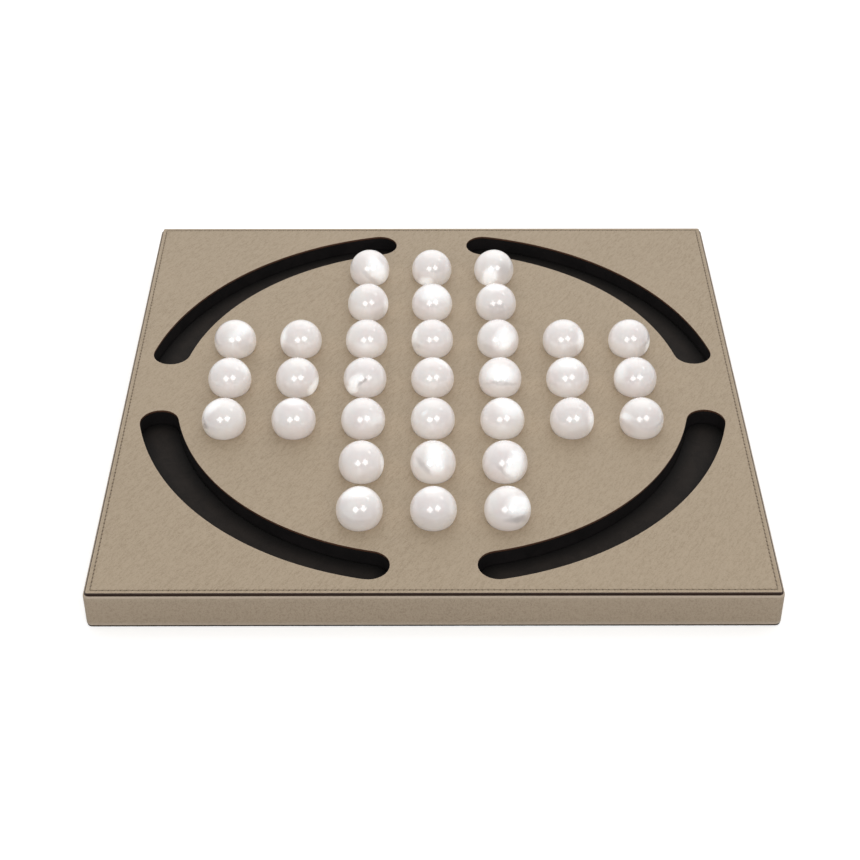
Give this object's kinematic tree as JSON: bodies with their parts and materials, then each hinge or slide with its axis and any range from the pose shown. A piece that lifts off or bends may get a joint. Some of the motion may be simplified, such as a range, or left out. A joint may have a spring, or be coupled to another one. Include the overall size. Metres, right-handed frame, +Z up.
{
  "type": "marble solitaire board",
  "caption": "Square leather-wrapped solitaire board with a cross of wells, arc-shaped trays for captured marbles and pearly white marbles.",
  "frame": {"origin": "centre of the flat underside, on the surface that the board stands on", "axes": "+Z up out of the board's playing face, -Y towards the player, +X to the player's right"},
  "size_m": [0.363, 0.363, 0.0408],
  "materials": {
    "taupe_leather": "fine pebbled grain, low sheen, dark brown painted cut edges",
    "taupe_thread": "matt twisted thread",
    "black_lining": "matt smooth",
    "charcoal_lining": "matt, very fine grain",
    "dark_suede": "matt suede nap",
    "fibreboard": "raw, hidden",
    "white_marble": "polished, silky pearly bands and bright patches"
  },
  "bodies": {
    "board": {"bottom_sheet": "dark_suede", "base_board": "fibreboard", "top_board": "fibreboard", "side_band": "taupe_leather", "top_leather": "taupe_leather", "edge_stitching": "taupe_thread", "wall_lining_back_right": "black_lining", "floor_lining_back_right": "charcoal_lining", "wall_lining_back_left": "black_lining", "floor_lining_back_left": "charcoal_lining", "wall_lining_front_left": "black_lining", "floor_lining_front_left": "charcoal_lining", "wall_lining_front_right": "black_lining", "floor_lining_front_right": "charcoal_lining"},
    "marble_a3": {"marble_a3": "white_marble"},
    "marble_a4": {"marble_a4": "white_marble"},
    "marble_a5": {"marble_a5": "white_marble"},
    "marble_b3": {"marble_b3": "white_marble"},
    "marble_b4": {"marble_b4": "white_marble"},
    "marble_b5": {"marble_b5": "white_marble"},
    "marble_c1": {"marble_c1": "white_marble"},
    "marble_c2": {"marble_c2": "white_marble"},
    "marble_c3": {"marble_c3": "white_marble"},
    "marble_c4": {"marble_c4": "white_marble"},
    "marble_c5": {"marble_c5": "white_marble"},
    "marble_c6": {"marble_c6": "white_marble"},
    "marble_c7": {"marble_c7": "white_marble"},
    "marble_d1": {"marble_d1": "white_marble"},
    "marble_d2": {"marble_d2": "white_marble"},
    "marble_d3": {"marble_d3": "white_marble"},
    "marble_d4": {"marble_d4": "white_marble"},
    "marble_d5": {"marble_d5": "white_marble"},
    "marble_d6": {"marble_d6": "white_marble"},
    "marble_d7": {"marble_d7": "white_marble"},
    "marble_e1": {"marble_e1": "white_marble"},
    "marble_e2": {"marble_e2": "white_marble"},
    "marble_e3": {"marble_e3": "white_marble"},
    "marble_e4": {"marble_e4": "white_marble"},
    "marble_e5": {"marble_e5": "white_marble"},
    "marble_e6": {"marble_e6": "white_marble"},
    "marble_e7": {"marble_e7": "white_marble"},
    "marble_f3": {"marble_f3": "white_marble"},
    "marble_f4": {"marble_f4": "white_marble"},
    "marble_f5": {"marble_f5": "white_marble"},
    "marble_g3": {"marble_g3": "white_marble"},
    "marble_g4": {"marble_g4": "white_marble"},
    "marble_g5": {"marble_g5": "white_marble"}
  },
  "joints": [
    {"name": "lift_marble_a3", "type": "slide", "parent": "board", "child": "marble_a3", "axis": [0, 0, 1], "range_m": [0, 0.04]},
    {"name": "lift_marble_a4", "type": "slide", "parent": "board", "child": "marble_a4", "axis": [0, 0, 1], "range_m": [0, 0.04]},
    {"name": "lift_marble_a5", "type": "slide", "parent": "board", "child": "marble_a5", "axis": [0, 0, 1], "range_m": [0, 0.04]},
    {"name": "lift_marble_b3", "type": "slide", "parent": "board", "child": "marble_b3", "axis": [0, 0, 1], "range_m": [0, 0.04]},
    {"name": "lift_marble_b4", "type": "slide", "parent": "board", "child": "marble_b4", "axis": [0, 0, 1], "range_m": [0, 0.04]},
    {"name": "lift_marble_b5", "type": "slide", "parent": "board", "child": "marble_b5", "axis": [0, 0, 1], "range_m": [0, 0.04]},
    {"name": "lift_marble_c1", "type": "slide", "parent": "board", "child": "marble_c1", "axis": [0, 0, 1], "range_m": [0, 0.04]},
    {"name": "lift_marble_c2", "type": "slide", "parent": "board", "child": "marble_c2", "axis": [0, 0, 1], "range_m": [0, 0.04]},
    {"name": "lift_marble_c3", "type": "slide", "parent": "board", "child": "marble_c3", "axis": [0, 0, 1], "range_m": [0, 0.04]},
    {"name": "lift_marble_c4", "type": "slide", "parent": "board", "child": "marble_c4", "axis": [0, 0, 1], "range_m": [0, 0.04]},
    {"name": "lift_marble_c5", "type": "slide", "parent": "board", "child": "marble_c5", "axis": [0, 0, 1], "range_m": [0, 0.04]},
    {"name": "lift_marble_c6", "type": "slide", "parent": "board", "child": "marble_c6", "axis": [0, 0, 1], "range_m": [0, 0.04]},
    {"name": "lift_marble_c7", "type": "slide", "parent": "board", "child": "marble_c7", "axis": [0, 0, 1], "range_m": [0, 0.04]},
    {"name": "lift_marble_d1", "type": "slide", "parent": "board", "child": "marble_d1", "axis": [0, 0, 1], "range_m": [0, 0.04]},
    {"name": "lift_marble_d2", "type": "slide", "parent": "board", "child": "marble_d2", "axis": [0, 0, 1], "range_m": [0, 0.04]},
    {"name": "lift_marble_d3", "type": "slide", "parent": "board", "child": "marble_d3", "axis": [0, 0, 1], "range_m": [0, 0.04]},
    {"name": "lift_marble_d4", "type": "slide", "parent": "board", "child": "marble_d4", "axis": [0, 0, 1], "range_m": [0, 0.04]},
    {"name": "lift_marble_d5", "type": "slide", "parent": "board", "child": "marble_d5", "axis": [0, 0, 1], "range_m": [0, 0.04]},
    {"name": "lift_marble_d6", "type": "slide", "parent": "board", "child": "marble_d6", "axis": [0, 0, 1], "range_m": [0, 0.04]},
    {"name": "lift_marble_d7", "type": "slide", "parent": "board", "child": "marble_d7", "axis": [0, 0, 1], "range_m": [0, 0.04]},
    {"name": "lift_marble_e1", "type": "slide", "parent": "board", "child": "marble_e1", "axis": [0, 0, 1], "range_m": [0, 0.04]},
    {"name": "lift_marble_e2", "type": "slide", "parent": "board", "child": "marble_e2", "axis": [0, 0, 1], "range_m": [0, 0.04]},
    {"name": "lift_marble_e3", "type": "slide", "parent": "board", "child": "marble_e3", "axis": [0, 0, 1], "range_m": [0, 0.04]},
    {"name": "lift_marble_e4", "type": "slide", "parent": "board", "child": "marble_e4", "axis": [0, 0, 1], "range_m": [0, 0.04]},
    {"name": "lift_marble_e5", "type": "slide", "parent": "board", "child": "marble_e5", "axis": [0, 0, 1], "range_m": [0, 0.04]},
    {"name": "lift_marble_e6", "type": "slide", "parent": "board", "child": "marble_e6", "axis": [0, 0, 1], "range_m": [0, 0.04]},
    {"name": "lift_marble_e7", "type": "slide", "parent": "board", "child": "marble_e7", "axis": [0, 0, 1], "range_m": [0, 0.04]},
    {"name": "lift_marble_f3", "type": "slide", "parent": "board", "child": "marble_f3", "axis": [0, 0, 1], "range_m": [0, 0.04]},
    {"name": "lift_marble_f4", "type": "slide", "parent": "board", "child": "marble_f4", "axis": [0, 0, 1], "range_m": [0, 0.04]},
    {"name": "lift_marble_f5", "type": "slide", "parent": "board", "child": "marble_f5", "axis": [0, 0, 1], "range_m": [0, 0.04]},
    {"name": "lift_marble_g3", "type": "slide", "parent": "board", "child": "marble_g3", "axis": [0, 0, 1], "range_m": [0, 0.04]},
    {"name": "lift_marble_g4", "type": "slide", "parent": "board", "child": "marble_g4", "axis": [0, 0, 1], "range_m": [0, 0.04]},
    {"name": "lift_marble_g5", "type": "slide", "parent": "board", "child": "marble_g5", "axis": [0, 0, 1], "range_m": [0, 0.04]}
  ]
}
